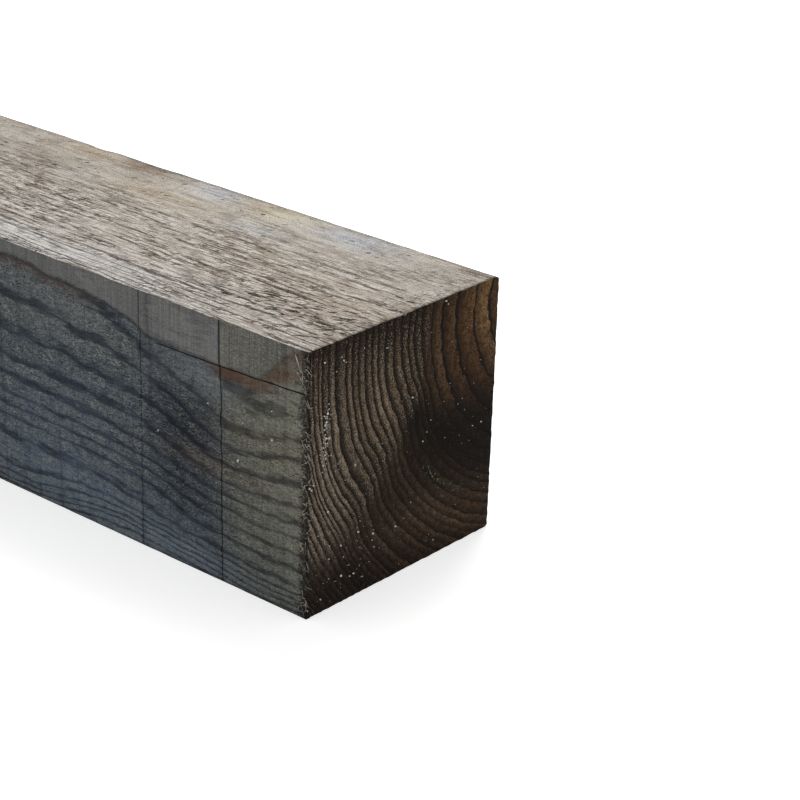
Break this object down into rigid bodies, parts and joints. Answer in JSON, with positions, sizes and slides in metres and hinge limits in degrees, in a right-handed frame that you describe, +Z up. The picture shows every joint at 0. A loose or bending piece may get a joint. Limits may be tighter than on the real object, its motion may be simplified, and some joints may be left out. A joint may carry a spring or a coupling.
{
  "type": "redwood post",
  "caption": "Square-sawn redwood timber post with weathered rough faces, worn edges and square-cut ends, lying on one long side.",
  "frame": {"origin": "middle of the underside: half way along the length, half way across, on the level it rests on", "axes": "+X along the post to the freshly shown end, -Y out of the dark front face, +Z up out of the weathered top face"},
  "size_m": [2.4, 0.1, 0.1],
  "materials": {
    "sawn_redwood": "rough-sawn, weathered grey on top, dark stained sides and end grain"
  },
  "bodies": {
    "root": {"post": "sawn_redwood"}
  },
  "joints": []
}
